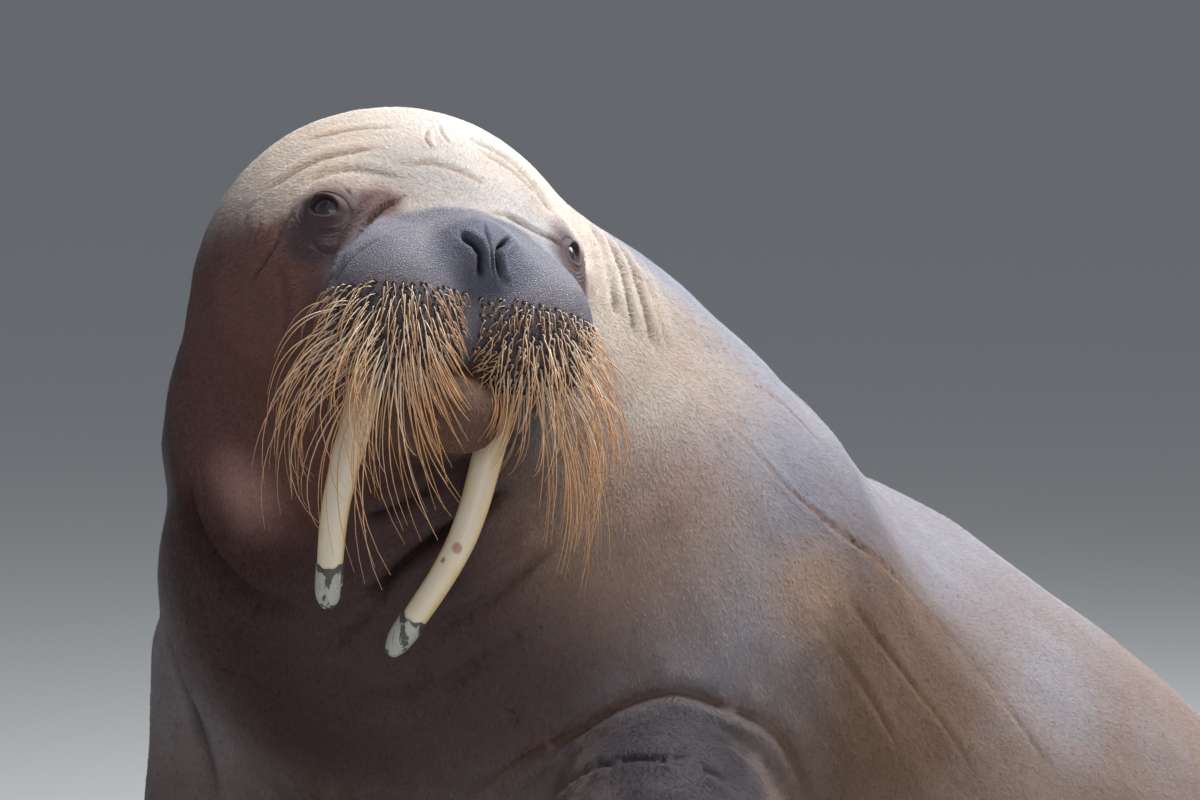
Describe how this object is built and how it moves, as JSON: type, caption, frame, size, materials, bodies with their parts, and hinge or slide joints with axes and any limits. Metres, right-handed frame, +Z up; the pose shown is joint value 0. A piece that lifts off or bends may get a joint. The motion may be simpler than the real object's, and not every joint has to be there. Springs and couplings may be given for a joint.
{
  "type": "walrus",
  "caption": "Life-size walrus propped on its fore flippers, hindquarters on the floor, head lifted and turned left, with long whiskers and metal-capped tusks.",
  "frame": {"origin": "on the floor under the belly, midway across the body", "axes": "+Z up, +Y towards the hind flippers, +X towards the animal's left side"},
  "size_m": [1.2178, 2.379, 1.1586],
  "materials": {
    "hide": "thick wrinkled hide with short flat fur",
    "muzzle_hide": "bare slate grey skin with horn whiskers",
    "flipper_hide": "rough bare skin",
    "ivory": "smooth cream ivory",
    "cap_metal": "dull, scuffed and stained",
    "eye": "wet"
  },
  "bodies": {
    "root": {"head": "hide", "muzzle": "muzzle_hide", "lower_jaw": "hide", "chest": "hide", "ear_left": "hide", "ear_right": "hide", "eye_left": "eye", "eye_right": "eye", "fore_flipper_left": "flipper_hide", "fore_flipper_right": "flipper_hide", "fore_limb_left": "hide", "fore_limb_right": "hide", "hind_flipper_left": "flipper_hide", "hind_flipper_right": "flipper_hide", "hind_limb_left": "hide", "hind_limb_right": "hide", "neck": "hide", "rump": "hide", "tail": "hide", "torso": "hide", "tusk_cap_left": "cap_metal", "tusk_cap_right": "cap_metal", "tusk_left": "ivory", "tusk_right": "ivory"}
  },
  "joints": []
}
